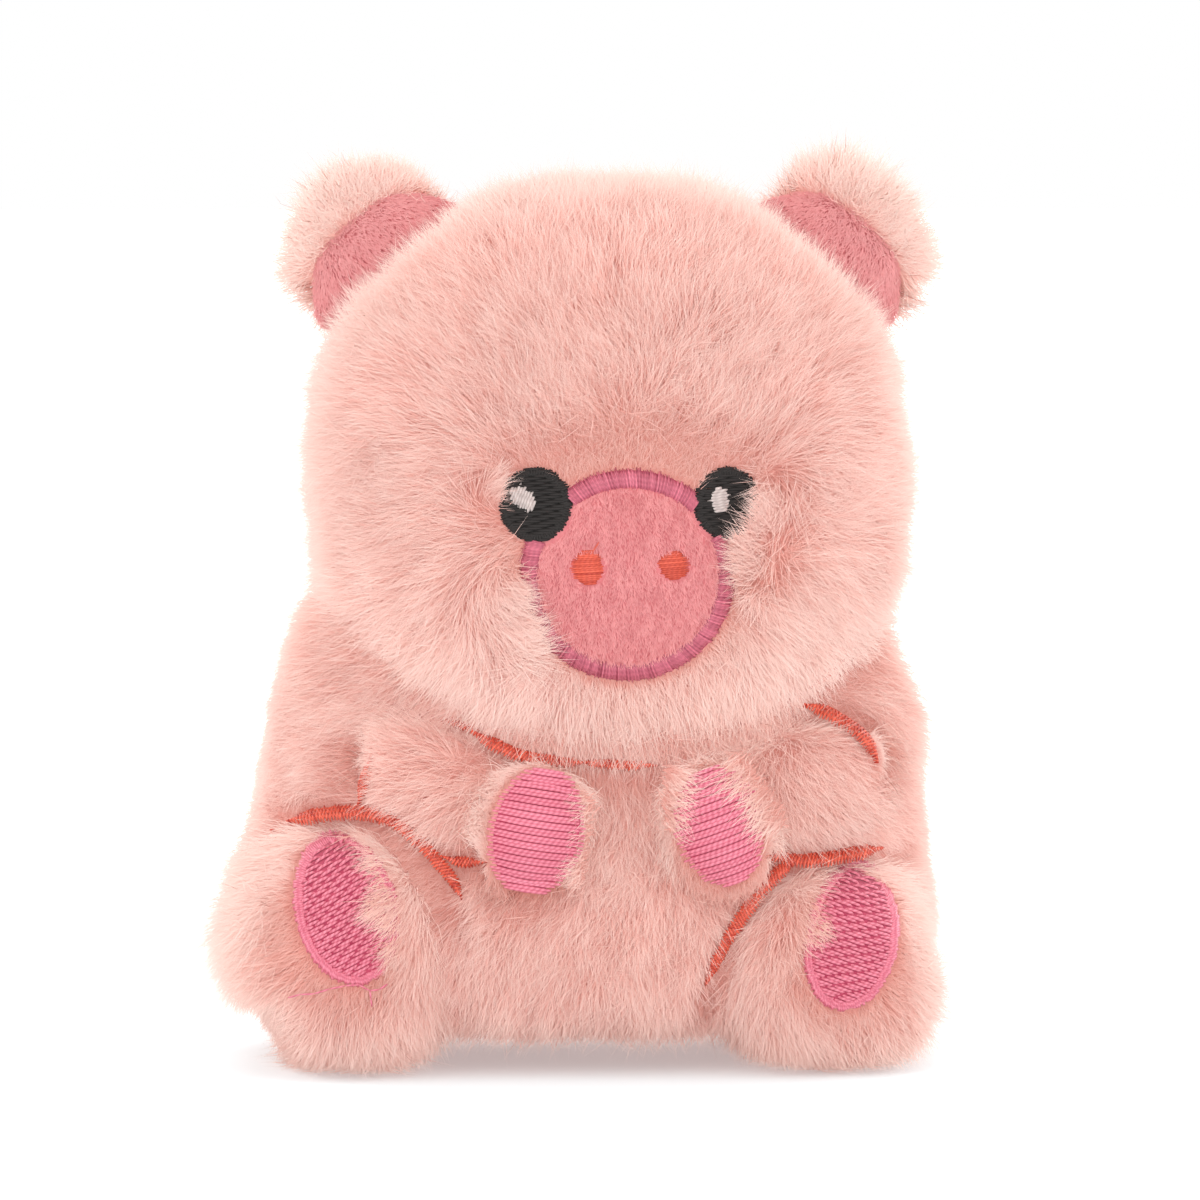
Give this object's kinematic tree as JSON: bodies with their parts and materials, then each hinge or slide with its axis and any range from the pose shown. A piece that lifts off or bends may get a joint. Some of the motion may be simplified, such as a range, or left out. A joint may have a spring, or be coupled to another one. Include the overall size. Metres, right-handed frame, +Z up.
{
  "type": "plush pig",
  "caption": "Small plush pig that stands on its padded feet, with sewn-on ears and a curled tail that flex where they are sewn in.",
  "frame": {"origin": "middle of the footprint's box, on the surface that the soles stand on", "axes": "+Z up; -Y the way the face looks, +X the pig's own left"},
  "size_m": [0.0704, 0.0526, 0.0898],
  "materials": {
    "peach_fur": "long brushed pile",
    "pink_velboa": "short velboa pile",
    "pink_thread": "satin embroidery",
    "coral_thread": "satin embroidery",
    "black_thread": "satin embroidery",
    "white_thread": "satin embroidery",
    "fibre_filling": "loose fibre",
    "pellet_cloth": "plain weave"
  },
  "bodies": {
    "plush": {"head_front_panel": "peach_fur", "head_back_panel": "peach_fur", "torso_front_panel": "peach_fur", "torso_back_panel": "peach_fur", "leg_right": "peach_fur", "leg_left": "peach_fur", "arm_right": "peach_fur", "arm_left": "peach_fur", "snout_patch": "pink_velboa", "snout_border_lower": "pink_thread", "snout_border_upper": "pink_thread", "hand_pad_right": "pink_thread", "hand_pad_left": "pink_thread", "foot_pad_right": "pink_thread", "foot_pad_left": "pink_thread", "nostril_right": "coral_thread", "nostril_left": "coral_thread", "leg_stitch_right": "coral_thread", "leg_stitch_left": "coral_thread", "elbow_stitch": "coral_thread", "chin_stitch": "coral_thread", "shoulder_stitch_right": "coral_thread", "shoulder_stitch_left": "coral_thread", "eye_right": "black_thread", "eye_left": "black_thread", "eye_glint_right": "white_thread", "eye_glint_left": "white_thread", "head_stuffing": "fibre_filling", "torso_stuffing": "fibre_filling", "pellet_bag": "pellet_cloth"},
    "ear_right": {"ear_right_back": "peach_fur", "ear_right_lining": "pink_velboa"},
    "ear_left": {"ear_left_back": "peach_fur", "ear_left_lining": "pink_velboa"},
    "tail": {"tail": "pink_velboa"}
  },
  "joints": [
    {"name": "ear_right_hinge", "type": "hinge", "parent": "plush", "child": "ear_right", "pos_m": [-0.02036, -0.00335, 0.0795], "axis": [0.7547, 0, 0.6561], "range_deg": [-20, 20], "stiffness_Nm_per_rad": 0.003},
    {"name": "ear_left_hinge", "type": "hinge", "parent": "plush", "child": "ear_left", "pos_m": [0.02416, -0.00335, 0.0795], "axis": [0.7547, 0, -0.6561], "range_deg": [-20, 20], "stiffness_Nm_per_rad": 0.003},
    {"name": "tail_hinge", "type": "hinge", "parent": "plush", "child": "tail", "pos_m": [0, 0.01625, 0.015], "axis": [0, 0, 1], "range_deg": [-20, 20], "stiffness_Nm_per_rad": 0.001}
  ]
}
